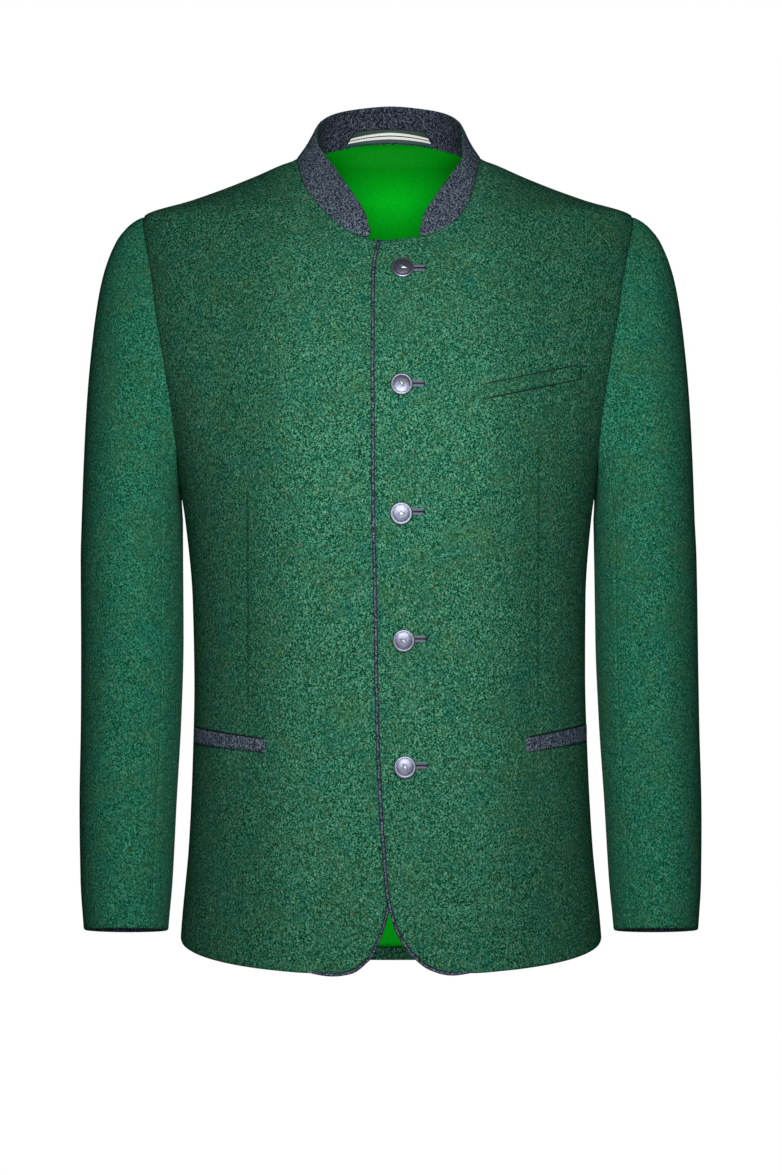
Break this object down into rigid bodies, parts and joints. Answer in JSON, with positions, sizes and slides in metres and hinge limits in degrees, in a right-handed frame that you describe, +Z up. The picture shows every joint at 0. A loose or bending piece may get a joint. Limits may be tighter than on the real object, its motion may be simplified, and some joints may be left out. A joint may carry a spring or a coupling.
{
  "type": "tracht jacket",
  "caption": "Man's green wool Tracht jacket with a grey stand collar, grey edge piping and pocket welts, worn form, empty inside.",
  "frame": {"origin": "midway between the two side neck points, where the wearer's shoulders hold the jacket", "axes": "+Z up, the front faces -Y, the wearer's right is at -X"},
  "size_m": [0.5775, 0.2757, 0.8145],
  "materials": {
    "wool": "matte",
    "grey_wool": "matte",
    "satin": "satin",
    "ribbon": "satin",
    "pewter": "satin"
  },
  "bodies": {
    "root": {"front_right": "wool", "front_left": "wool", "back_right": "wool", "back_left": "wool", "sleeve_upper_right": "wool", "sleeve_upper_left": "wool", "sleeve_under_right": "wool", "sleeve_under_left": "wool", "welt_breast": "wool", "collar_stand": "grey_wool", "welt_pocket_right": "grey_wool", "welt_pocket_left": "grey_wool", "piping_right": "grey_wool", "piping_left": "grey_wool", "cuff_facing_right": "grey_wool", "cuff_facing_left": "grey_wool", "lining_back": "satin", "hanger_ribbon": "ribbon", "button_1": "pewter", "button_2": "pewter", "button_3": "pewter", "button_4": "pewter", "button_5": "pewter"}
  },
  "joints": []
}
